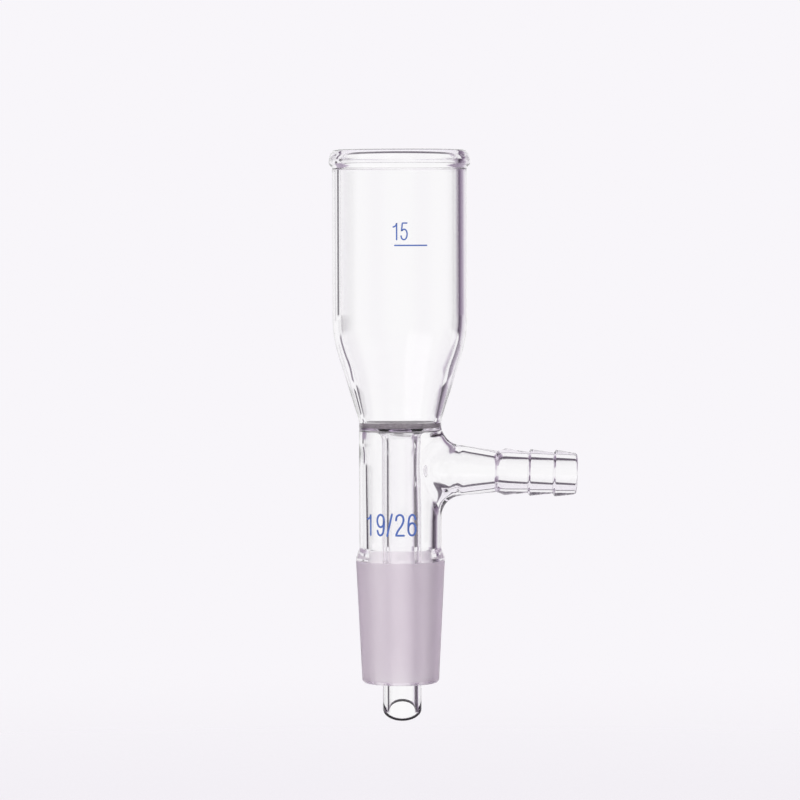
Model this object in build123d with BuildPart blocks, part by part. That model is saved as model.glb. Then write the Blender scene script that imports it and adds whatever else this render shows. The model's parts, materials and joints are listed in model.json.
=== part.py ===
from build123d import *
import os
from math import cos, radians, sin, tan

# Fritted glass filter funnel with a hose arm for suction and a 19/26 ground cone.
#
# The glass body is one piece of blown and fused glass: an open bowl with a beaded rim, a shelf for
# the sintered disc, a ring seal under the shelf that carries the drip tube inside a wider jacket,
# a ridged hose arm drawn out of the jacket's side, and the ground cone that ends the jacket.
# Suction at the hose arm reaches the flask through the ring-shaped space round the drip tube, and
# the filtrate runs from the bowl through the disc and down the drip tube.
#
# Frame: origin at the centre of the ground cone's large end, +Z up the funnel's axis, hose arm
# towards +X, the long side of the drip tube's slanted tip towards -Y.
# Lengths are millimetres and angles are degrees. A height is a Z value. A reach is measured from
# the funnel's axis along the hose arm, which droops a little.

# Ground cone, size 19/26
cone_large_diameter = 18.8
cone_length = 26.0
cone_taper = 0.1
cone_mouth_diameter = 12.5
cone_end_rounding = 0.8
cone_collar_height = 0.6
cone_collar_rounding = 0.5
cone_shoulder_height = 2.5
cone_shoulder_rounding = 1.2

# Jacket, the tube between the ground cone and the bowl
jacket_diameter = 17.4
jacket_wall = 1.75
jacket_top_blend = 5.0

# Sintered disc, the shelf that carries it, and the arched ring seal under the shelf
disc_diameter = 14.8
disc_thickness = 1.15
shelf_thickness = 1.15
seal_arch_radius = 1.4

# Drip tube, which opens into a funnel under the disc
drip_diameter = 8.2
drip_wall = 1.3
drip_flare_radius = 4.2
drip_tip_depth = 33.9
drip_tip_slant = 26.5
drip_tip_rounding = 0.25

# Bowl
bowl_diameter = 28.4
bowl_wall = 1.7
bowl_slope = 17.5
bowl_shoulder_blend = 24.7
bowl_inner_slope = 19.9
bowl_floor_blend = 6.0
bowl_depth = 58.65
bowl_well_depth = 5.15

# Beaded rim, its depths measured down from the crest
rim_inner_depth = 1.7
bead_diameter = 29.9
bead_depth = 2.7
bead_root_depth = 5.4
bead_crest_diameter = 26.6

# Hose arm, its height taken on the funnel's axis, with the clearance between its foot and the
# forms above it
arm_height = 19.35
arm_droop = 1.8
arm_diameter = 8.65
arm_bore_diameter = 5.6
arm_neck_reach = 20.5
arm_slope = 7.5
arm_bore_slope = 8.4
arm_foot_blend = 4.4
arm_mouth_blend = 1.7
arm_headroom = 0.2
arm_end_length = 4.6
arm_end_rounding = 0.5

# Ridges that grip the hose, steep towards the jacket and sloping towards the free end
ridge_count = 3
ridge_reach = 22.2
ridge_pitch = 5.3
ridge_diameter = 9.9
ridge_step_length = 0.45
ridge_rounding = 0.25

# Radii
cone_large_radius = cone_large_diameter / 2
cone_small_radius = cone_large_radius - cone_taper * cone_length / 2
cone_mouth_radius = cone_mouth_diameter / 2
jacket_radius = jacket_diameter / 2
jacket_inner_radius = jacket_radius - jacket_wall
disc_radius = disc_diameter / 2
drip_radius = drip_diameter / 2
drip_inner_radius = drip_radius - drip_wall
bowl_radius = bowl_diameter / 2
bowl_inner_radius = bowl_radius - bowl_wall
bead_radius = bead_diameter / 2
crest_radius = bead_crest_diameter / 2
arm_radius = arm_diameter / 2
arm_bore_radius = arm_bore_diameter / 2


def taper_rise(small_radius, large_radius, slope):
    """Length of a cone from its small radius to its large one, its slope measured from its axis."""
    return (large_radius - small_radius) / tan(radians(slope))


def blended_top(radius, slope, wall_radius, blend):
    """Height at which the blend over the hose arm runs out on the wall that the arm leaves."""
    run = arm_neck_reach - wall_radius - blend
    rise = radius + run * tan(radians(slope)) + blend / cos(radians(slope))
    return arm_height + rise - (wall_radius + blend) * tan(radians(arm_droop))


# Hose arm: its cones are carried on to the funnel's axis, inside the jacket
arm_plane = Plane(
    (0, 0, arm_height),
    x_dir=(cos(radians(arm_droop)), 0, -sin(radians(arm_droop))),
    z_dir=(0, -1, 0),
)
arm_axis = Axis(arm_plane.origin, arm_plane.x_dir)
arm_root_radius = arm_radius + arm_neck_reach * tan(radians(arm_slope))
arm_bore_root_radius = arm_bore_radius + arm_neck_reach * tan(radians(arm_bore_slope))
arm_reach = ridge_reach + (ridge_count - 1) * ridge_pitch + arm_end_length
foot_top = blended_top(arm_radius, arm_slope, jacket_radius, arm_foot_blend)
mouth_top = blended_top(arm_bore_radius, arm_bore_slope, jacket_inner_radius, arm_mouth_blend)

# Heights, from the hose arm upwards
jacket_top_height = foot_top + arm_headroom + jacket_top_blend * tan(radians(bowl_slope / 2))
bowl_shoulder_height = jacket_top_height + taper_rise(jacket_radius, bowl_radius, bowl_slope)
shelf_height = mouth_top + arm_headroom + seal_arch_radius
disc_height = shelf_height + shelf_thickness
bowl_floor_height = disc_height + bowl_well_depth
bowl_inner_height = bowl_floor_height + taper_rise(disc_radius, bowl_inner_radius, bowl_inner_slope)
rim_height = disc_height + bowl_depth
bead_height = rim_height - bead_depth
bead_root_height = rim_height - bead_root_depth


def ridged_edge():
    """Corners of the hose arm's upper edge from the neck to the free end, and their roundings."""
    corners = []
    for index in range(ridge_count):
        peak = ridge_reach + index * ridge_pitch
        foot = peak - ridge_step_length if index else arm_neck_reach
        corners += [(foot, arm_radius), (peak, ridge_diameter / 2)]
    corners.append((arm_reach, arm_radius))
    return corners, [ridge_rounding] * (2 * ridge_count) + [arm_end_rounding]


with BuildPart() as fritted_disc:
    with BuildSketch(Plane.XY.offset(disc_height)):
        Circle(disc_radius)
    extrude(amount=disc_thickness)

# The space that carries the suction: the jacket's inside and the hose arm's bore
with BuildPart() as suction_space:
    with BuildSketch(Plane.XZ):
        with BuildLine():
            FilletPolyline(
                (0, -cone_length),
                (cone_mouth_radius, -cone_length),
                (jacket_inner_radius, 0),
                (jacket_inner_radius, shelf_height),
                (0, shelf_height),
                radius=[0, 0, seal_arch_radius],
            )
            Line((0, shelf_height), (0, -cone_length))
        make_face()
    revolve(axis=Axis.Z)

    with BuildSketch(arm_plane):
        with BuildLine():
            Polyline(
                (0, 0),
                (0, arm_bore_root_radius),
                (arm_neck_reach, arm_bore_radius),
                (arm_reach, arm_bore_radius),
                (arm_reach, 0),
                close=True,
            )
        make_face()
    revolve(axis=arm_axis)
    fillet(suction_space.edges(Select.NEW), arm_mouth_blend)

# The drip tube and its shelf, still without a bore, the tip cut on a slant so that drops leave
# it from one side
with BuildPart() as drip_stem:
    with BuildSketch(Plane.XZ):
        with BuildLine():
            FilletPolyline(
                (0, -drip_tip_depth),
                (drip_radius, -drip_tip_depth),
                (drip_radius, shelf_height),
                (jacket_inner_radius, shelf_height),
                (jacket_inner_radius, disc_height),
                (0, disc_height),
                radius=[0, seal_arch_radius, 0, 0],
            )
            Line((0, disc_height), (0, -drip_tip_depth))
        make_face()
    revolve(axis=Axis.Z)
    tip_plane = Plane((0, -drip_radius, -drip_tip_depth)).rotated((drip_tip_slant, 0, 0))
    split(bisect_by=tip_plane, keep=Keep.TOP)

with BuildPart() as glass_body:
    # Outer form, solid: ground cone, jacket, bowl and beaded rim
    with BuildSketch(Plane.XZ):
        with BuildLine():
            wall = FilletPolyline(
                (0, -cone_length),
                (cone_small_radius, -cone_length),
                (cone_large_radius, 0),
                (cone_large_radius, cone_collar_height),
                (jacket_radius, cone_shoulder_height),
                (jacket_radius, jacket_top_height),
                (bowl_radius, bowl_shoulder_height),
                (bowl_radius, bead_root_height),
                radius=[
                    cone_end_rounding,
                    0,
                    cone_collar_rounding,
                    cone_shoulder_rounding,
                    jacket_top_blend,
                    bowl_shoulder_blend,
                ],
            )
            Bezier(
                wall @ 1,
                (bowl_radius, (bead_root_height + bead_height) / 2),
                (bead_radius, (bead_root_height + bead_height) / 2),
                (bead_radius, bead_height),
            )
            crown = EllipticalCenterArc(
                (crest_radius, bead_height),
                bead_radius - crest_radius,
                rim_height - bead_height,
            )
            Polyline(crown @ 1, (0, rim_height), (0, -cone_length))
        make_face()
    revolve(axis=Axis.Z)

    # Hose arm, solid, its foot blended into the jacket
    with BuildSketch(arm_plane):
        with BuildLine():
            corners, roundings = ridged_edge()
            edge = FilletPolyline(
                (0, arm_root_radius),
                *corners,
                (arm_reach, 0),
                radius=roundings,
            )
            Polyline(edge @ 1, (0, 0), edge @ 0)
        make_face()
    revolve(axis=arm_axis)
    fillet(glass_body.edges(Select.NEW), arm_foot_blend)

    # Inside: the suction space, the drip tube that stands in it, then the bowl and the drain bore
    add(suction_space, mode=Mode.SUBTRACT)
    add(drip_stem)
    with BuildSketch(Plane.XZ):
        with BuildLine():
            lip = EllipticalCenterArc(
                (crest_radius, rim_height - rim_inner_depth),
                crest_radius - bowl_inner_radius,
                rim_inner_depth,
                start_angle=90,
            )
            drain = FilletPolyline(
                lip @ 1,
                (bowl_inner_radius, bowl_inner_height),
                (disc_radius, bowl_floor_height),
                (disc_radius, disc_height),
                (drip_inner_radius, disc_height),
                (drip_inner_radius, -drip_tip_depth),
                (0, -drip_tip_depth),
                radius=[bowl_shoulder_blend - bowl_wall, bowl_floor_blend, 0, drip_flare_radius, 0],
            )
            Polyline(drain @ 1, (0, rim_height), lip @ 0)
        make_face()
    revolve(axis=Axis.Z, mode=Mode.SUBTRACT)

    # Fire-polished ends
    tip_face = glass_body.faces().sort_by(Axis.Z)[0]
    fillet(tip_face.edges(), drip_tip_rounding)
    cone_end = glass_body.faces().filter_by(Plane.XY).sort_by(Axis.Z)[0]
    fillet(cone_end.inner_wires().edges(), cone_end_rounding)
    arm_end = glass_body.faces().filter_by(GeomType.PLANE).sort_by(arm_axis)[-1]
    fillet(arm_end.inner_wires().edges(), arm_end_rounding)

glass_body.part.label = "glass_body"
fritted_disc.part.label = "fritted_disc"

os.makedirs("parts", exist_ok=True)
export_step(glass_body.part, "parts/glass_body.step")
export_step(fritted_disc.part, "parts/fritted_disc.step")
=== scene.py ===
import json
from math import ceil, cos, pi, radians, sin, tan

import bmesh
import bpy
import numpy as np
from mathutils import Matrix, Vector

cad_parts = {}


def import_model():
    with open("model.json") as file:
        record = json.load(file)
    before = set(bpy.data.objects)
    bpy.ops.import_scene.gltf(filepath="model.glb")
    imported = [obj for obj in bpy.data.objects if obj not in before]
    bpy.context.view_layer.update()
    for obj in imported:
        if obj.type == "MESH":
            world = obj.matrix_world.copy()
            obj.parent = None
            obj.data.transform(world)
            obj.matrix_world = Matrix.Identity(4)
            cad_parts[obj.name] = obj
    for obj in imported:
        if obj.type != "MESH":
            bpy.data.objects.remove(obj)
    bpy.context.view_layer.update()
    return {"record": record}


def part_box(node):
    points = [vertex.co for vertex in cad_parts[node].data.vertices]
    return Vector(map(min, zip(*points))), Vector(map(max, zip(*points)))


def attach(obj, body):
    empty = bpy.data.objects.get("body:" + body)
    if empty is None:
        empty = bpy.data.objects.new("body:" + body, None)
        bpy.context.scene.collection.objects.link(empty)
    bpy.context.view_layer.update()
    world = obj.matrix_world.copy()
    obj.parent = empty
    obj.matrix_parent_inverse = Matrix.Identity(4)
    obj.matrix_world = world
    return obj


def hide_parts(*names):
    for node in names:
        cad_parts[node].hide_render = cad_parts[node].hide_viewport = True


# Looks of the fritted glass filter funnel. Lengths are millimetres and become metres when a mesh is
# made. Lengths in materials and in the studio are metres.
#
# The glass is one closed skin: a profile turned about Z whose first and last row are the same, with
# two windows cut in it, one in the jacket's outside and one in its inside. The hose arm's skin runs
# from the outer window, along the arm, round its end and back down its bore to the inner one.

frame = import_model()

mounts = {mount["name"]: mount for mount in frame["record"]["mounts"]}
glass_high = np.array(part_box("glass_body")[1]) * 1000
disc_low, disc_high = (np.array(corner) * 1000 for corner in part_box("fritted_disc"))

# Ground cone and jacket
CONE_LENGTH = 26.0
CONE_LARGE, CONE_SMALL, CONE_MOUTH = 9.4, 8.1, 6.25
CONE_SLOPE = (CONE_LARGE - CONE_SMALL) / CONE_LENGTH
COLLAR_HEIGHT, SHOULDER_HEIGHT = 0.6, 2.5
JACKET, JACKET_INNER = 8.7, 6.95
NECK_HEIGHT = 29.65
# The jacket's inside swells round a height, over a span, and leans about a second height
SWELL, SWELL_HEIGHT, SWELL_SPAN = 0.3, 24.6, 2.6
LEAN, LEAN_HEIGHT = 0.016, 11.6

# Bowl and rim
BOWL, BOWL_INNER = 14.2, mounts["bowl_mouth"]["dims"]["r_mm"]
SHOULDER_TOP, INNER_TOP, TAPER_BEND = 47.1, 47.3, (9.3, 38.6)
BEAD, CREST = glass_high[1], 13.3
RIM = glass_high[2]
BEAD_DEPTH, BEAD_ROOT_DEPTH, LIP_DEPTH = 2.7, 4.2, 2.2

# Disc, shelf and drip tube
DISC, DISC_LOW, DISC_HIGH = disc_high[0], disc_low[2], disc_high[2]
SHELF_THICKNESS, FRIT_GAP = 0.5, 0.03
SHELF_LOW = DISC_LOW - SHELF_THICKNESS
ARCH, SEAL_EDGE = 1.8, 0.4
DRIP, DRIP_INNER, DRIP_FLARE = 4.1, 2.8, 2.0
TIP_DEPTH, TIP_SLANT, DRIP_SHIFT = 33.87, 26.5, 0.3

# Hose arm, along its own axis, which droops from the jacket
ARM_HEIGHT, ARM_DROOP = 19.35, 1.8
ARM_END = 37.4
NECK_REACH = 20.5
NECK_START = NECK_REACH - 2.0
ARM_RADIUS, ARM_SLOPE, ARM_BLEND = 4.325, 7.5, 4.5
BORE_RADIUS, BORE_SLOPE, BORE_BLEND = 2.8, 8.4, 2.0
MOUTH_BLEND, MOUTH_SWELL, MOUTH_TOP = 5.0, 0.95, 26.1
WELDS = [(11.6, 0.35, 0.9), (20.95, 0.22, 0.45)]
RIDGES, RIDGE_RADIUS, RIDGE_STEP = (22.2, 27.5, 32.8), 4.95, 0.45

# Mesh
COLUMNS = 128
WINDOW_COLUMNS, WINDOW_ROWS = 24, 26
OUTER_WINDOW, INNER_WINDOW = (8.2, 30.2), (8.4, 26.3)  # lower and upper edge
STRIP_ROWS, BLEND_ROWS, CONE_ROWS = 6, 14, 12
LONGEST_RUN, ARC_STEP = 1.0, radians(6)

# Finish
GLASS_IOR, GLASS_CAST = 1.473, (0.45, 0.15, 0.60)
GROUND_ROUGHNESS, GROUND_TINT = 0.58, (0.955, 0.875, 0.935)
# The frit's grain tones are greys of painted shade, since the frit is white, and its pore colour is painted
# shade in the pores.
FRIT_SHADED_DARK, FRIT_SHADED_PALE, FRIT_PORE_SHADE = (0.30, 0.255, 0.29), (0.66, 0.60, 0.645), (0.12, 0.10, 0.115)
FRIT_SCALE = 3600.0
ENAMEL_THICK, ENAMEL_THIN = (0.05, 0.11, 0.40), (0.10, 0.20, 0.60)


# ---------------------------------------------------------------- profiles

def run(start, end):
    """Points along a straight line, without the first."""
    start, end = np.array(start, float), np.array(end, float)
    count = max(1, ceil(np.linalg.norm(end - start) / LONGEST_RUN))
    return [start + (end - start) * i / count for i in range(1, count + 1)]


def rounded(corners):
    """A line through corners of (radius, height, rounding), each corner but the ends rounded."""
    points = [np.array(corners[0][:2], float)]
    for before, corner, after in zip(corners, corners[1:], corners[2:]):
        here = np.array(corner[:2], float)
        back = np.array(before[:2]) - here
        ahead = np.array(after[:2]) - here
        back, ahead = back / np.linalg.norm(back), ahead / np.linalg.norm(ahead)
        turn = pi - np.arccos(np.clip(back @ ahead, -1, 1))
        if corner[2] == 0 or turn < 1e-6:
            points += run(points[-1], here)
            continue
        reach = corner[2] * tan(turn / 2)
        middle = here + (back + ahead) / np.linalg.norm(back + ahead) * corner[2] / cos(turn / 2)
        points += run(points[-1], here + back * reach)
        first, last = here + back * reach - middle, here + ahead * reach - middle
        count = max(2, ceil(turn / ARC_STEP))
        for i in range(1, count + 1):
            t = turn * i / count
            points.append(middle + (first * sin(turn - t) + last * sin(t)) / sin(turn))
    points += run(points[-1], corners[-1][:2])
    return points


def ellipse(middle, across, up, start, end, count):
    """Points on an ellipse from one angle in degrees to another, without the first."""
    angles = np.radians(np.linspace(start, end, count + 1)[1:])
    return [np.array((middle[0] + across * cos(a), middle[1] + up * sin(a))) for a in angles]


def swell(start, end, count):
    """Points of the curve that leaves a wall upwards and meets the bead upwards, without the first."""
    (r0, z0), (r1, z1) = start, end
    middle = (z0 + z1) / 2
    points = []
    for t in np.linspace(0, 1, count + 1)[1:]:
        a, b, c, d = (1 - t) ** 3, 3 * t * (1 - t) ** 2, 3 * t * t * (1 - t), t ** 3
        points.append(np.array((a * r0 + b * r0 + c * r1 + d * r1, a * z0 + (b + c) * middle + d * z1)))
    return points


def even_rows(points, low, high, going_up):
    """The part of a line from one height to another, in WINDOW_ROWS even steps, and its two ends."""
    points = np.array(points)
    order = points if going_up else points[::-1]
    heights = order[:, 1]
    rows = [np.array((np.interp(z, heights, order[:, 0]), z))
            for z in np.linspace(low, high, WINDOW_ROWS + 1)]
    return rows if going_up else rows[::-1]


def with_window(points, low, high, going_up):
    """The line with the rows of the window put in, and the number of the window's first row."""
    points = np.array(points)
    z = points[:, 1]
    inside = (z > low - 0.3) & (z < high + 0.3)
    first, last = np.flatnonzero(inside)[[0, -1]]
    stretch = points[max(first - 1, 0):last + 2]
    rows = even_rows(stretch, low, high, going_up)
    return list(points[:first]) + rows + list(points[last + 1:]), first


# ---------------------------------------------------------------- hose arm

droop = radians(ARM_DROOP)
along = np.array((cos(droop), 0, -sin(droop)))
across = np.array((0.0, 1.0, 0.0))
upward = np.array((sin(droop), 0, cos(droop)))
root = np.array((0.0, 0.0, ARM_HEIGHT))
arm_count = 2 * (2 * WINDOW_COLUMNS + WINDOW_ROWS)
arm_angles = np.arange(arm_count) * 2 * pi / arm_count


def arm_point(reach, radius, angles=arm_angles):
    """Points round the arm's axis, angle 0 on top and 90 degrees towards +Y."""
    radial = np.sin(angles)[:, None] * across + np.cos(angles)[:, None] * upward
    return root + np.reshape(reach, (-1, 1)) * along + np.reshape(radius, (-1, 1)) * radial


def cone_at(reach, end_radius, slope):
    """Radius of the arm's cone, which narrows to end_radius at the neck."""
    return end_radius + (NECK_REACH - reach) * tan(radians(slope))


def blend_rows(wall, end_radius, slope, blend, top=100.0):
    """The rolling-ball blend from a wall about Z to the arm's cone: rows from the wall outwards.

    wall and blend may differ round the arm. The blend starts no higher than top."""
    lean = radians(slope)
    low, high = np.zeros(arm_count), np.full(arm_count, NECK_REACH)
    for _ in range(50):
        reach = (low + high) / 2
        middle = arm_point(reach, cone_at(reach, end_radius, slope) + blend / cos(lean))
        outside = np.hypot(middle[:, 0], middle[:, 1]) > wall + blend
        high, low = np.where(outside, reach, high), np.where(outside, low, reach)
    radial = np.sin(arm_angles)[:, None] * across + np.cos(arm_angles)[:, None] * upward
    to_cone = -(cos(lean) * radial + sin(lean) * along)
    to_wall = -middle * (1, 1, 0) / np.hypot(middle[:, 0], middle[:, 1])[:, None]
    turn = np.arccos(np.clip((to_cone * to_wall).sum(axis=1), -1, 1))

    def at(share):
        way = (to_wall * np.sin(turn * (1 - share))[:, None] + to_cone * np.sin(turn * share)[:, None])
        return middle + way / np.sin(turn)[:, None] * np.reshape(blend, (-1, 1))

    low, high = np.zeros(arm_count), np.ones(arm_count)
    for _ in range(30):
        share = (low + high) / 2
        above = at(share)[:, 2] > top
        low, high = np.where(above, share, low), np.where(above, high, share)
    start = np.where(high < 1e-6, 0.0, high)
    return [at(start + (1 - start) * t) for t in np.linspace(0, 1, BLEND_ROWS + 1)]


def border(rows):
    """Azimuths and heights of a window's edge, from its top middle towards +Y and round."""
    step = 2 * pi / COLUMNS
    w = WINDOW_COLUMNS
    z = sorted(row[1] for row in rows)
    top = [(i * step, z[-1]) for i in range(0, w)]
    right = [(w * step, z[-1 - i]) for i in range(WINDOW_ROWS)]
    bottom = [((w - i) * step, z[0]) for i in range(2 * w)]
    left = [(-w * step, z[i]) for i in range(WINDOW_ROWS)]
    rest = [(i * step, z[-1]) for i in range(-w, 0)]
    return np.array(top + right + bottom + left + rest)


def wall_rows(rows, foot):
    """Rows on the wall between a window's edge and the foot of the arm's blend."""
    edge = border(rows)
    ends = np.stack((np.arctan2(foot[:, 1], foot[:, 0]), foot[:, 2]), axis=1)
    line = np.array(sorted(rows, key=lambda row: row[1]))
    offset = np.hypot(foot[:, 0], foot[:, 1]) - np.interp(foot[:, 2], line[:, 1], line[:, 0])
    result = []
    for t in np.linspace(0, 1, STRIP_ROWS + 1)[:-1]:
        azimuth, z = (edge + (ends - edge) * t).T
        radius = np.interp(z, line[:, 1], line[:, 0]) + offset * t
        result.append(np.stack((radius * np.cos(azimuth), radius * np.sin(azimuth), z), axis=1))
    return result


def arm_edge():
    """The arm from its neck, over the ridges and round its end, to the bore's neck."""
    corners = [(NECK_START, cone_at(NECK_START, ARM_RADIUS, ARM_SLOPE), 0)]
    for i, peak in enumerate(RIDGES):
        foot = peak - RIDGE_STEP if i else NECK_REACH
        corners += [(foot, ARM_RADIUS, 0.35 if i else 2.0), (peak, RIDGE_RADIUS, 0.3 if i else 0.9)]
    corners += [
        (ARM_END, ARM_RADIUS, 0.7),
        (ARM_END, BORE_RADIUS, 0.65),
        (NECK_REACH, BORE_RADIUS, 4.0),
        (NECK_START, cone_at(NECK_START, BORE_RADIUS, BORE_SLOPE), 0),
    ]
    return rounded(corners)


def arm_rows(outer_rows, inner_rows):
    """All rows of the arm, from the outer window's edge to the inner window's edge."""
    outer = blend_rows(JACKET, ARM_RADIUS, ARM_SLOPE, ARM_BLEND)
    up = np.cos(arm_angles)
    inner = blend_rows(JACKET_INNER + MOUTH_SWELL * np.maximum(up, 0) ** 2, BORE_RADIUS, BORE_SLOPE,
                       BORE_BLEND + (MOUTH_BLEND - BORE_BLEND) * up ** 2, MOUTH_TOP)
    rows = wall_rows(outer_rows, outer[0]) + outer
    rows += cone_rows(outer[-1], ARM_RADIUS, ARM_SLOPE)
    rows += [arm_point(reach, radius) for reach, radius in arm_edge()]
    rows += cone_rows(inner[-1], BORE_RADIUS, BORE_SLOPE)[::-1]
    rows += inner[::-1] + wall_rows(inner_rows, inner[0])[::-1]
    return [welded(row) for row in rows]


def welded(row):
    """Draws the bore in a little at the rings where the arm was fused together."""
    reach = (row - root) @ along
    radial = row - root - reach[:, None] * along
    radius = np.linalg.norm(radial, axis=1)
    inside = radius < cone_at(reach, ARM_RADIUS, ARM_SLOPE) - 0.75
    drawn = sum(depth * np.exp(-((reach - place) / width) ** 2) for place, depth, width in WELDS)
    shrink = np.where(inside & (reach > 8), drawn, 0) / radius
    return row - radial * shrink[:, None]


def cone_rows(start, end_radius, slope):
    """Rows on the arm's cone between its blend and the neck's first ring, without either."""
    reach = (start - root) @ along
    rows = []
    for t in np.linspace(0, 1, CONE_ROWS + 1)[1:-1]:
        x = reach + (NECK_START - reach) * t
        rows.append(arm_point(x, cone_at(x, end_radius, slope)))
    return rows


# ---------------------------------------------------------------- the glass skin

def body_profile():
    """The closed line that turns into the glass, and the first row of its two windows."""
    outside = rounded([
        (CONE_MOUTH + 0.9, -CONE_LENGTH, 0),
        (CONE_SMALL, -CONE_LENGTH, 0.8),
        (CONE_LARGE, 0, 0),
        (CONE_LARGE, COLLAR_HEIGHT, 0.5),
        (JACKET, SHOULDER_HEIGHT, 1.2),
        (JACKET, NECK_HEIGHT, 5.0),
        (BOWL, SHOULDER_TOP, 24.7),
        (BOWL, RIM - BEAD_ROOT_DEPTH, 0),
    ])
    outside += swell((BOWL, RIM - BEAD_ROOT_DEPTH), (BEAD, RIM - BEAD_DEPTH), 14)
    outside += ellipse((CREST, RIM - BEAD_DEPTH), BEAD - CREST, BEAD_DEPTH, 0, 90, 16)
    outside += ellipse((CREST, RIM - LIP_DEPTH), CREST - BOWL_INNER, LIP_DEPTH, 90, 180, 12)
    bowl = rounded([
        (BOWL_INNER, RIM - LIP_DEPTH, 0),
        (BOWL_INNER, INNER_TOP, 23.05),
        (*TAPER_BEND, 25.0),
        (DISC, DISC_HIGH + 0.2, 1.0),
        (DISC, DISC_LOW, 0),
        (DRIP_INNER, DISC_LOW, DRIP_FLARE),
        (DRIP_INNER, -TIP_DEPTH, 0.35),
        (DRIP, -TIP_DEPTH, 0.35),
        (DRIP, SHELF_LOW, ARCH),
        (JACKET_INNER, SHELF_LOW, SEAL_EDGE),
        (JACKET_INNER, 0, 0),
        (CONE_MOUTH, -CONE_LENGTH, 0.8),
        (CONE_MOUTH + 0.9, -CONE_LENGTH, 0),
    ])
    outside, outer_window = with_window(outside, *OUTER_WINDOW, True)
    bowl, inner_window = with_window_on_jacket(bowl)
    points = outside + bowl[1:-1]
    return [swollen(point) for point in points], outer_window, len(outside) + inner_window - 1


def swollen(point):
    """The jacket's inside is a little wider towards the seal and narrower towards the cone."""
    radius, z = point
    if 0 < z < SHELF_LOW + 0.01 and DRIP + 0.2 < radius < JACKET - 0.5:
        wider = SWELL * np.exp(-((z - SWELL_HEIGHT) / SWELL_SPAN) ** 2)
        wider += LEAN * (z - LEAN_HEIGHT) * min(z / 3, 1)
        radius += wider * min((radius - DRIP - 0.2) / 1.5, 1)
    return np.array((radius, z))


def with_window_on_jacket(bowl):
    """The line with the inner window's rows in its last part, which runs down the jacket's inside."""
    start = max(i for i, point in enumerate(bowl) if point[1] > SHELF_LOW - 1e-6) + 1
    jacket, first = with_window(bowl[start:], *INNER_WINDOW, False)
    return bowl[:start] + jacket, start + first


def tip_height(x, y):
    """Height of the drip tube's slanted tip: its long side is towards -Y."""
    return -TIP_DEPTH + (y + DRIP) * tan(radians(TIP_SLANT))


def turned(profile):
    """The profile turned about Z, one row of points for each point of the profile."""
    angles = np.arange(COLUMNS) * 2 * pi / COLUMNS
    profile = np.array(profile)
    radius, z = profile[:, :1], profile[:, 1:]
    return np.stack((radius * np.cos(angles), radius * np.sin(angles), z + 0 * angles), axis=2)


def slant_tip(points, profile):
    """Moves the drip tube's rows below the cone so that its end lies in the slanted plane."""
    top = -CONE_LENGTH + 8
    for row, (radius, z) in enumerate(profile):
        if z < top and radius < DRIP + 0.01:
            x, y = points[row, :, 0], points[row, :, 1]
            share = (z + TIP_DEPTH) / (top + TIP_DEPTH)
            points[row, :, 2] = tip_height(x, y) * (1 - share) + top * share
    return points


def off_centre(points, profile):
    """Moves the drip tube a little towards the hose arm, as it was fused in."""
    for row, (radius, z) in enumerate(profile):
        if z < SHELF_LOW - 0.1 and radius < DRIP + 2.0:
            share = min((SHELF_LOW - 0.1 - z) / 2, 1) * min((DRIP + 2.0 - radius) / 1.5, 1)
            inside = radius < DRIP + 0.01 or z > 20
            points[row, :, 0] += DRIP_SHIFT * share * inside
    return points


def glass_skin():
    """Points and faces of the glass."""
    profile, outer_window, inner_window = body_profile()
    outer_rows = profile[outer_window:outer_window + WINDOW_ROWS + 1]
    inner_rows = profile[inner_window:inner_window + WINDOW_ROWS + 1]
    lathe = off_centre(slant_tip(turned(profile), profile), profile)
    arm = np.array(arm_rows(outer_rows, inner_rows))
    points = np.concatenate((lathe.reshape(-1, 3), arm.reshape(-1, 3)))

    count = len(profile)
    faces = []
    columns = np.arange(COLUMNS)
    signed = (columns + COLUMNS // 2) % COLUMNS - COLUMNS // 2
    open_column = (signed >= -WINDOW_COLUMNS) & (signed < WINDOW_COLUMNS)
    for row in range(count):
        after = (row + 1) % count
        window = any(first <= row < first + WINDOW_ROWS for first in (outer_window, inner_window))
        for column in columns:
            if window and open_column[column]:
                continue
            beside = (column + 1) % COLUMNS
            faces.append((row * COLUMNS + column, row * COLUMNS + beside,
                          after * COLUMNS + beside, after * COLUMNS + column))
    base = count * COLUMNS
    for row in range(len(arm) - 1):
        for i in range(arm_count):
            j = (i + 1) % arm_count
            faces.append((base + row * arm_count + i, base + row * arm_count + j,
                          base + (row + 1) * arm_count + j, base + (row + 1) * arm_count + i))
    return points, faces


def mesh_object(name, points, faces, material, weld=0.0):
    """A smooth mesh object from points in millimetres."""
    mesh = bpy.data.meshes.new(name)
    mesh.from_pydata([tuple(p) for p in np.array(points) / 1000], [], faces)
    if weld:
        work = bmesh.new()
        work.from_mesh(mesh)
        bmesh.ops.remove_doubles(work, verts=work.verts, dist=weld / 1000)
        bmesh.ops.delete(work, geom=[v for v in work.verts if not v.link_faces], context="VERTS")
        bmesh.ops.recalc_face_normals(work, faces=work.faces)
        work.to_mesh(mesh)
        work.free()
    mesh.polygons.foreach_set("use_smooth", [True] * len(mesh.polygons))
    mesh.materials.append(material)
    obj = bpy.data.objects.new(name, mesh)
    bpy.context.scene.collection.objects.link(obj)
    return obj


# ---------------------------------------------------------------- materials

def new_material(name):
    """A material without nodes, and its node tree."""
    material = bpy.data.materials.new(name)
    material.use_nodes = True
    material.node_tree.nodes.clear()
    return material, material.node_tree


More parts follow.
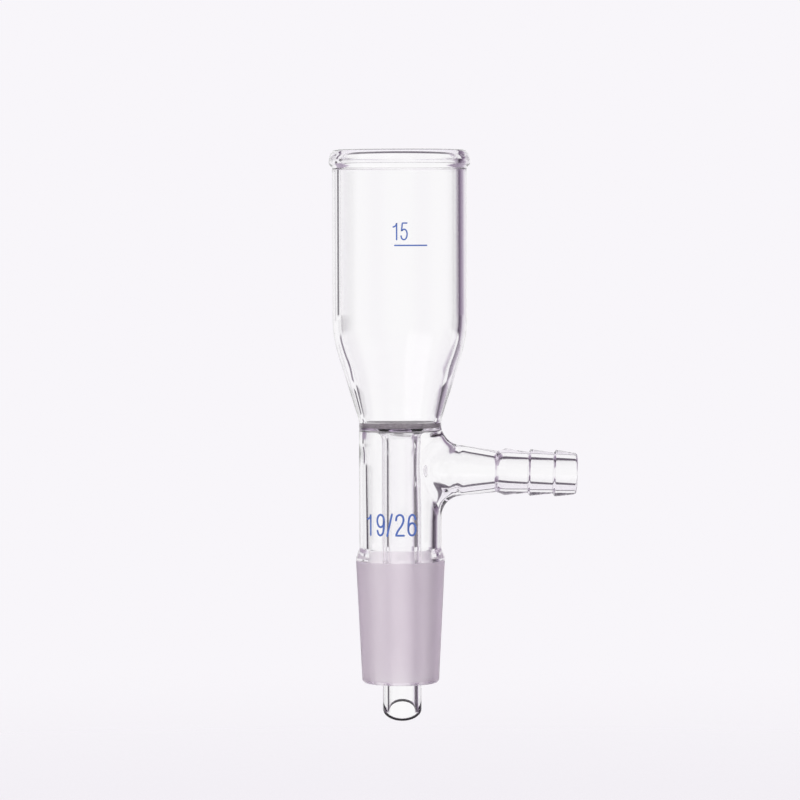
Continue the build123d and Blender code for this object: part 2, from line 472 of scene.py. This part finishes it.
def node(tree, kind, settings=(), **sockets):
    """A new node. Each socket is a value, or another node's output to link from.

    A socket is given by its name with _ for a space, or by its number as _0, _1 and so on."""
    made = tree.nodes.new(kind)
    for name, value in dict(settings).items():
        setattr(made, name, value)
    for name, value in sockets.items():
        key = int(name[1:]) if name[1:].isdigit() else name.replace("_", " ")
        socket = made.inputs[key]
        if isinstance(value, bpy.types.NodeSocket):
            tree.links.new(value, socket)
        else:
            socket.default_value = value
    return made


def calc(tree, operation, a, b=0.0, clamp=False):
    """The output of a node that does one sum."""
    settings = {"operation": operation, "use_clamp": clamp}
    return node(tree, "ShaderNodeMath", settings, _0=a, _1=b).outputs[0]


def step_up(tree, value, start, end):
    """0 below start, 1 above end, smooth between. start may be above end, to step down."""
    made = node(tree, "ShaderNodeMapRange", {"interpolation_type": "SMOOTHSTEP"},
                Value=value, From_Min=start, From_Max=end)
    return made.outputs[0]


def glass_material():
    """Clear glass. The outside of the ground cone is matt, with a fine grain and a ragged edge."""
    material, tree = new_material("clear_glass")
    where = node(tree, "ShaderNodeTexCoord").outputs["Object"]
    split = node(tree, "ShaderNodeSeparateXYZ", _0=where)
    x, y, z = split.outputs
    square = calc(tree, "ADD", calc(tree, "MULTIPLY", x, x), calc(tree, "MULTIPLY", y, y))
    radius = calc(tree, "SQRT", square)
    ragged = node(tree, "ShaderNodeTexNoise", Vector=where, Scale=900.0, Detail=3.0).outputs[0]
    height = calc(tree, "ADD", z, calc(tree, "MULTIPLY", calc(tree, "SUBTRACT", ragged, 0.5), 0.0004))
    top = step_up(tree, height, 0.00005, -0.00015)
    foot = step_up(tree, height, -0.0256, -0.0252)
    level = calc(tree, "SUBTRACT", radius, calc(tree, "MULTIPLY", z, CONE_SLOPE))
    outer = step_up(tree, level, 0.0088, 0.0090)
    ground = calc(tree, "MULTIPLY", calc(tree, "MULTIPLY", top, foot), outer)

    grain = node(tree, "ShaderNodeTexNoise", Vector=where, Scale=5200.0, Detail=2.0).outputs[0]
    patches = node(tree, "ShaderNodeTexNoise", Vector=where, Scale=260.0, Detail=3.0).outputs[0]
    uneven = calc(tree, "MULTIPLY", calc(tree, "SUBTRACT", patches, 0.5), 0.16)
    matt = calc(tree, "ADD", GROUND_ROUGHNESS, uneven)
    tint = node(tree, "ShaderNodeMix", {"data_type": "RGBA"}, Factor=ground)
    tint.inputs["A"].default_value = (1, 1, 1, 1)
    tint.inputs["B"].default_value = (*GROUND_TINT, 1)
    bump = node(tree, "ShaderNodeBump", Height=grain, Strength=calc(tree, "MULTIPLY", ground, 0.35))
    bump.inputs["Distance"].default_value = 0.00002
    surface = node(tree, "ShaderNodeBsdfPrincipled", Roughness=calc(tree, "MULTIPLY", ground, matt),
                   Normal=bump.outputs[0])
    tree.links.new(tint.outputs["Result"], surface.inputs["Base Color"])
    surface.inputs["IOR"].default_value = GLASS_IOR
    surface.inputs["Transmission Weight"].default_value = 1.0
    inside = node(tree, "ShaderNodeVolumeAbsorption", Color=(*GLASS_CAST, 1), Density=9.0)
    node(tree, "ShaderNodeOutputMaterial", Surface=surface.outputs[0], Volume=inside.outputs[0])
    return material


def frit_material():
    """Sintered glass: fused grains of uneven tone, greyed as painted shade, and pores painted dark as
    shade.
    """
    material, tree = new_material("sintered_glass")
    where = node(tree, "ShaderNodeTexCoord").outputs["Object"]
    grains = node(tree, "ShaderNodeTexVoronoi", Vector=where, Scale=FRIT_SCALE)
    pores = node(tree, "ShaderNodeTexVoronoi", {"feature": "DISTANCE_TO_EDGE"},
                 Vector=where, Scale=FRIT_SCALE)
    tone = node(tree, "ShaderNodeSeparateColor", _0=grains.outputs["Color"]).outputs[0]
    patches = node(tree, "ShaderNodeTexNoise", Vector=where, Scale=420.0, Detail=2.0).outputs[0]
    light = calc(tree, "ADD", calc(tree, "MULTIPLY", tone, 0.5),
                 calc(tree, "MULTIPLY", patches, 0.6), clamp=True)
    # The two grain tones are greys of painted shade: the frit is white, but looks dark through the thick
    # wall lit from behind.
    colour = node(tree, "ShaderNodeMix", {"data_type": "RGBA"}, Factor=light)
    colour.inputs["A"].default_value = (*FRIT_SHADED_DARK, 1)
    colour.inputs["B"].default_value = (*FRIT_SHADED_PALE, 1)
    # Painted shade: the gaps between the grains are darkened, as shade in the pores.
    pore_shade = step_up(tree, pores.outputs[0], 0.09, 0.02)
    pore_shade_share = calc(tree, "MULTIPLY", pore_shade, 0.6)
    mixed = node(tree, "ShaderNodeMix", {"data_type": "RGBA"}, Factor=pore_shade_share)
    tree.links.new(colour.outputs["Result"], mixed.inputs["A"])
    mixed.inputs["B"].default_value = (*FRIT_PORE_SHADE, 1)
    bump = node(tree, "ShaderNodeBump", Height=pores.outputs[0], Strength=0.5)
    bump.inputs["Distance"].default_value = 0.00008
    surface = node(tree, "ShaderNodeBsdfPrincipled", Roughness=0.45, Normal=bump.outputs[0])
    tree.links.new(mixed.outputs["Result"], surface.inputs["Base Color"])
    node(tree, "ShaderNodeOutputMaterial", Surface=surface.outputs[0])
    return material


def enamel_material():
    """Fired blue enamel, a little uneven where it lies thinner."""
    material, tree = new_material("blue_enamel")
    where = node(tree, "ShaderNodeTexCoord").outputs["Object"]
    thin = node(tree, "ShaderNodeTexNoise", Vector=where, Scale=1500.0, Detail=3.0).outputs[0]
    colour = node(tree, "ShaderNodeMix", {"data_type": "RGBA"}, Factor=thin)
    colour.inputs["A"].default_value = (*ENAMEL_THICK, 1)
    colour.inputs["B"].default_value = (*ENAMEL_THIN, 1)
    surface = node(tree, "ShaderNodeBsdfPrincipled", Roughness=0.35)
    tree.links.new(colour.outputs["Result"], surface.inputs["Base Color"])
    node(tree, "ShaderNodeOutputMaterial", Surface=surface.outputs[0])
    return material


glass = mesh_object("funnel_glass", *glass_skin(), glass_material(), weld=0.002)
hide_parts("glass_body")
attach(glass, "root")


def disc_skin():
    """Points and faces of the disc, which goes 0.02 into the wall round it, with a gap under it."""
    profile = rounded([
        (0.01, DISC_LOW + FRIT_GAP, 0), (DISC + 0.02, DISC_LOW + FRIT_GAP, 0),
        (DISC + 0.02, DISC_HIGH, 0.15), (0.01, DISC_HIGH, 0),
    ])
    points = turned(profile).reshape(-1, 3)
    faces = [
        (r * COLUMNS + c, r * COLUMNS + (c + 1) % COLUMNS,
         (r + 1) * COLUMNS + (c + 1) % COLUMNS, (r + 1) * COLUMNS + c)
        for r in range(len(profile) - 1) for c in range(COLUMNS)
    ]
    faces += [tuple(range(COLUMNS)), tuple((len(profile) - 1) * COLUMNS + c for c in range(COLUMNS))]
    return points, faces


disc = mesh_object("frit", *disc_skin(), frit_material(), weld=0.0001)
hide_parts("fritted_disc")
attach(disc, "root")

# ---------------------------------------------------------------- print

# How far the print goes into the wall and stands out of it, the underline's length and how far it
# lies under the figures' foot, and what the figures' width is squeezed by
PRINT_DEPTH, PRINT_RISE = 0.02, 0.03
UNDERLINE, UNDERLINE_DROP = 6.8, 1.2
NARROW = 0.8

# Strokes of plain figures in a box one high, each a list of points on a smooth line. A point given
# twice makes a corner.
LOOP = [(0.27 + 0.23 * sin(radians(a)), 0.70 + 0.30 * cos(radians(a))) for a in range(0, 361, 30)]
NINE = [LOOP, [(0.50, 0.70), (0.49, 0.42), (0.43, 0.13), (0.27, 0.0), (0.12, 0.06), (0.05, 0.22)]]
FIGURES = {
    "1": [[(0.02, 0.76), (0.20, 0.84), (0.28, 1.0), (0.28, 1.0), (0.28, 0.0)]],
    "2": [[(0.03, 0.74), (0.08, 0.92), (0.26, 1.0), (0.43, 0.92), (0.48, 0.74), (0.38, 0.50), (0.14, 0.22),
           (0.02, 0.0), (0.02, 0.0), (0.50, 0.0)]],
    "5": [[(0.46, 1.0), (0.12, 1.0), (0.12, 1.0), (0.06, 0.52), (0.06, 0.52), (0.25, 0.63), (0.42, 0.54),
           (0.48, 0.32), (0.41, 0.09), (0.25, 0.0), (0.09, 0.06), (0.02, 0.22)]],
    "6": [[(0.52 - u, 1.0 - v) for u, v in stroke] for stroke in NINE],
    "9": NINE,
    "/": [[(0.0, -0.02), (0.30, 1.02)]],
    "-": [[(0.0, 0.0), (1.0, 0.0)]],
}


def smooth_line(points, steps=6):
    """Points on the smooth line through the given ones, with a corner where a point is given twice."""
    points = np.array(points, float)
    result = [points[0]]
    for i in range(len(points) - 1):
        p1, p2 = points[i], points[i + 1]
        if np.allclose(p1, p2):
            continue
        before = points[i - 1] if i and not np.allclose(points[i - 1], p1) else 2 * p1 - p2
        after = points[i + 2] if i + 2 < len(points) and not np.allclose(points[i + 2], p2) else 2 * p2 - p1
        for t in np.linspace(0, 1, steps + 1)[1:]:
            m1, m2 = (p2 - before) / 2, (after - p1) / 2
            result.append((2 * t**3 - 3 * t**2 + 1) * p1 + (t**3 - 2 * t**2 + t) * m1
                          + (3 * t**2 - 2 * t**3) * p2 + (t**3 - t**2) * m2)
    return np.array(result)


def ribbon(line, width):
    """The edges of a stroke of the given width with round ends: its left side, then its right."""
    way = np.gradient(line, axis=0)
    way /= np.linalg.norm(way, axis=1)[:, None]
    side = np.stack((-way[:, 1], way[:, 0]), axis=1) * width / 2
    left, right = list(line + side), list(line - side)
    for t in (0.35, 0.7, 0.95):
        lean = np.array(t), np.sqrt(1 - t * t)
        left.append(line[-1] + way[-1] * width / 2 * lean[0] + side[-1] * lean[1])
        right.append(line[-1] + way[-1] * width / 2 * lean[0] - side[-1] * lean[1])
        left.insert(0, line[0] - way[0] * width / 2 * lean[0] + side[0] * lean[1])
        right.insert(0, line[0] - way[0] * width / 2 * lean[0] - side[0] * lean[1])
    return np.array(left), np.array(right)


def printed(name, text, start, foot, height, width, wall, spacing):
    """Raised figures fired on to the glass's outside, wrapped round a wall of the given radius.

    start is the distance round the wall from the front, and spacing the places of the figures."""
    points, faces = [], []
    for figure, place in zip(text, spacing):
        for stroke in FIGURES[figure]:
            wide, drop = (UNDERLINE, UNDERLINE_DROP) if figure == "-" else (NARROW * height, 0.0)
            line = smooth_line(stroke) * (wide, height) + (start + place, foot - drop)
            left, right = ribbon(line, width)
            base, n = len(points), len(left)
            for radius in (wall - PRINT_DEPTH, wall + PRINT_RISE):
                for edge in (left, right):
                    angle = edge[:, 0] / wall - pi / 2
                    x, y = radius * np.cos(angle), radius * np.sin(angle)
                    points += list(np.stack((x, y, edge[:, 1]), axis=1))
            for i in range(n - 1):
                a, b, c, d = (base + k * n + i for k in range(4))
                faces += [(c, c + 1, d + 1, d), (a, b, b + 1, a + 1),
                          (a, a + 1, c + 1, c), (b, d, d + 1, b + 1)]
            a, b, c, d = (base + k * n for k in range(4))
            faces += [(a, c, d, b), (a + n - 1, b + n - 1, d + n - 1, c + n - 1)]
    obj = mesh_object(name, points, faces, enamel, weld=0.00001)
    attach(obj, "root")


enamel = enamel_material()
printed("volume_print", "15-", -1.0, 67.85, 3.45, 0.30, BOWL, (-0.38, 1.25, 0.0))
printed("cone_print", "19/26", -7.9, 5.76, 4.36, 0.42, JACKET, (0.0, 2.64, 5.08, 6.89, 9.51))

# ---------------------------------------------------------------- studio

PALE = (0.94, 0.92, 0.955)
SHADE = (0.075, 0.055, 0.085)
BRIGHT, DARK = 0.94, 0.055
THROUGH_GAIN = 0.03

# Brightness of the studio all round, by degrees to the right of straight ahead. More than 84
# degrees to either side it is alike in every zone.
REAR = [(-160, BRIGHT), (-142, 0.80), (-128, 0.80), (-112, BRIGHT)]


def all_round(front):
    """Bands from straight behind, round by the left, to straight behind again."""
    mirrored = [(-degrees, value) for degrees, value in REAR[::-1]]
    return [(-180, BRIGHT), *REAR, (-84, BRIGHT), *front, *mirrored, (180, BRIGHT)]


FOOT_BANDS = all_round([
    (-42, BRIGHT), (-40, 0.16), (-34.5, 0.12), (-32.5, BRIGHT),
    (15, BRIGHT), (20, 0.50), (25, 0.26), (33, 0.14), (36.5, 0.16), (39, BRIGHT),
])
LOWER_BANDS = all_round([
    (-74, DARK), (-49, DARK), (-45, BRIGHT),
    (19, BRIGHT), (22, 0.85), (28, 0.68), (33, 0.28), (38, 0.14), (48, DARK), (70, DARK), (84, BRIGHT),
])
UPPER_BANDS = all_round([
    (-74, 0.88), (-56, 0.88), (-47, BRIGHT), (-41, BRIGHT), (-39, DARK), (-32.5, DARK), (-30.5, BRIGHT),
    (19, BRIGHT), (22.5, 0.62), (27, 0.42), (31, 0.36), (36, 0.30), (41, 0.20), (45, 0.12),
    (50, DARK), (70, DARK), (84, BRIGHT),
])
RIM_BANDS = all_round([
    (-74, 0.60), (-56, 0.42), (-50, 0.34), (-30, 0.34), (-25, BRIGHT),
    (15, BRIGHT), (21, 0.45), (29, 0.28), (70, 0.28), (84, BRIGHT),
])

# Elevations in degrees. FOOT_BANDS fill the studio from below, and each of the others takes over
# between its two elevations. Below FADE_LOW and above FADE_HIGH all of them have faded into PALE.
ZONES = ((LOWER_BANDS, -10, -8), (UPPER_BANDS, -2.8, -2.1), (RIM_BANDS, 3, 6))
FADE_LOW, FADE_HIGH = (-31, -25), (62, 42)
# Where rays that come through the glass see SHADE: above CEILING, and in a gap between two
# elevations that reaches up to GAP_WIDTH to either side of straight ahead
CEILING = (40, 45)
GAP_TOP, GAP_FOOT, GAP_WIDTH = (-17.5, -20), (-31, -28), (28, 18)


def blended(tree, share, first, second):
    """The colour between two, each a node's output or three numbers."""
    made = node(tree, "ShaderNodeMix", {"data_type": "RGBA"}, Factor=share)
    for name, colour in (("A", first), ("B", second)):
        if isinstance(colour, bpy.types.NodeSocket):
            tree.links.new(colour, made.inputs[name])
        else:
            made.inputs[name].default_value = (*colour, 1)
    return made.outputs["Result"]


def band_ramp(tree, turn, bands):
    """The colour of the bands at a turn from 0 to 1. The darker a band, the more mauve it is."""
    ramp = node(tree, "ShaderNodeValToRGB", _0=turn)
    stops = ramp.color_ramp.elements
    stops.remove(stops[1])
    for i, (degrees, value) in enumerate(bands):
        stop = stops[0] if i == 0 else stops.new((degrees + 180) / 360)
        stop.position = (degrees + 180) / 360
        cast = 1 - min(max((BRIGHT - value) / 0.8, 0), 1) * np.array((0.0, 0.26, -0.12))
        stop.color = (*(value * cast), 1)
    return ramp.outputs[0]


def elevation_step(tree, z, elevations):
    """step_up between two elevations in degrees, where z is the height of a direction of length 1."""
    start, end = elevations
    return step_up(tree, z, sin(radians(start)), sin(radians(end)))


def world():
    """Pale all round, with soft dark bands, whose images draw the glass's edges.

    The camera itself sees PALE. Rays through the glass also see SHADE, and a little more light."""
    scene = bpy.context.scene
    scene.world = bpy.data.worlds.new("studio")
    scene.world.use_nodes = True
    tree = scene.world.node_tree
    tree.nodes.clear()
    direction = node(tree, "ShaderNodeTexCoord").outputs["Generated"]
    x, y, z = node(tree, "ShaderNodeSeparateXYZ", _0=direction).outputs
    turn = calc(tree, "ADD", calc(tree, "DIVIDE", calc(tree, "ARCTAN2", x, y), 2 * pi), 0.5)
    studio = band_ramp(tree, turn, FOOT_BANDS)
    for bands, *elevations in ZONES:
        above = elevation_step(tree, z, elevations)
        studio = blended(tree, above, studio, band_ramp(tree, turn, bands))
    low = elevation_step(tree, z, FADE_LOW)
    high = elevation_step(tree, z, FADE_HIGH)
    studio = blended(tree, calc(tree, "MULTIPLY", low, high), PALE, studio)
    path = node(tree, "ShaderNodeLightPath").outputs
    ceiling = elevation_step(tree, z, CEILING)
    gap = calc(tree, "MULTIPLY", elevation_step(tree, z, GAP_TOP), elevation_step(tree, z, GAP_FOOT))
    ahead = step_up(tree, calc(tree, "ABSOLUTE", calc(tree, "SUBTRACT", turn, 0.5)),
                    GAP_WIDTH[0] / 360, GAP_WIDTH[1] / 360)
    dark = calc(tree, "MAXIMUM", ceiling, calc(tree, "MULTIPLY", gap, ahead))
    studio = blended(tree, calc(tree, "MULTIPLY", dark, path["Is Transmission Ray"]), studio, SHADE)
    colour = blended(tree, path["Is Camera Ray"], studio, PALE)
    gain = calc(tree, "MULTIPLY", path["Is Transmission Ray"], THROUGH_GAIN)
    back = node(tree, "ShaderNodeBackground", Strength=calc(tree, "ADD", 1.0, gain))
    tree.links.new(colour, back.inputs["Color"])
    node(tree, "ShaderNodeOutputWorld", Surface=back.outputs[0])


# In metres. The fades are the distances from the floor's middle over which it goes out of sight, the
# second one for rays that come through the glass.
FLOOR_HEIGHT, FLOOR_HALF = -0.1, 2.5
FLOOR_FADE, FLOOR_FADE_THROUGH = (0.32, 0.8), (0.18, 0.24)


def floor():
    """A pale floor that fades into the backdrop away from the object, and keeps its shadow."""
    mesh = bpy.data.meshes.new("floor")
    sides = ((-1, -1), (1, -1), (1, 1), (-1, 1))
    corners = [(x * FLOOR_HALF, y * FLOOR_HALF, FLOOR_HEIGHT) for x, y in sides]
    mesh.from_pydata(corners, [], [(0, 1, 2, 3)])
    obj = bpy.data.objects.new("floor", mesh)
    bpy.context.scene.collection.objects.link(obj)
    material, tree = new_material("floor")
    away = node(tree, "ShaderNodeVectorMath", {"operation": "LENGTH"},
                _0=node(tree, "ShaderNodeTexCoord").outputs["Object"]).outputs["Value"]
    lit = node(tree, "ShaderNodeBsdfDiffuse", Color=(0.93, 0.915, 0.94, 1))
    path = node(tree, "ShaderNodeLightPath").outputs
    seen = calc(tree, "MAXIMUM", path["Is Camera Ray"],
                calc(tree, "MAXIMUM", path["Is Glossy Ray"], path["Is Transmission Ray"]))
    glow = node(tree, "ShaderNodeEmission", Color=(*PALE, 1), Strength=1.0)
    even = node(tree, "ShaderNodeMixShader", _0=calc(tree, "MULTIPLY", seen, 0.5), _1=lit.outputs[0],
                _2=glow.outputs[0])
    fade = step_up(tree, away, *FLOOR_FADE)
    short = calc(tree, "MULTIPLY", step_up(tree, away, *FLOOR_FADE_THROUGH), path["Is Transmission Ray"])
    clear = node(tree, "ShaderNodeBsdfTransparent")
    mix = node(tree, "ShaderNodeMixShader", _0=calc(tree, "MAXIMUM", fade, short), _1=even.outputs[0],
               _2=clear.outputs[0])
    node(tree, "ShaderNodeOutputMaterial", Surface=mix.outputs[0])
    mesh.materials.append(material)


def softbox(name, place, size, watts):
    """A square lamp of the given size in metres that looks at the object."""
    data = bpy.data.lights.new(name, "AREA")
    data.size, data.energy = size, watts
    obj = bpy.data.objects.new(name, data)
    bpy.context.scene.collection.objects.link(obj)
    obj.location = place
    obj.rotation_euler = (Vector((0, 0, 0.03)) - Vector(place)).to_track_quat("-Z", "Y").to_euler()


def camera():
    """The photograph's camera: in front of the object, a little above it and a little rolled."""
    data = bpy.data.cameras.new("camera")
    obj = bpy.data.objects.new("camera", data)
    bpy.context.scene.collection.objects.link(obj)
    distance, rise, roll = 0.977, radians(2.3), radians(-0.16)
    target = Vector((0.0, 0, 0.0339))
    obj.location = target + distance * Vector((0, -cos(rise), sin(rise)))
    turn = (target - obj.location).to_track_quat("-Z", "Y").to_matrix()
    turn = turn @ Matrix.Rotation(roll, 3, "Z")
    obj.matrix_world = Matrix.Translation(obj.location) @ turn.to_4x4()
    data.sensor_width = 36
    data.lens = 208
    data.clip_start, data.clip_end = 0.01, 20
    bpy.context.scene.camera = obj


world()
floor()
softbox("key", (-0.9, -0.9, 1.2), 1.8, 7.0)
camera()
scene = bpy.context.scene
scene.view_settings.view_transform = "Standard"
scene.cycles.max_bounces = 32
scene.cycles.transmission_bounces = 32
scene.cycles.glossy_bounces = 8
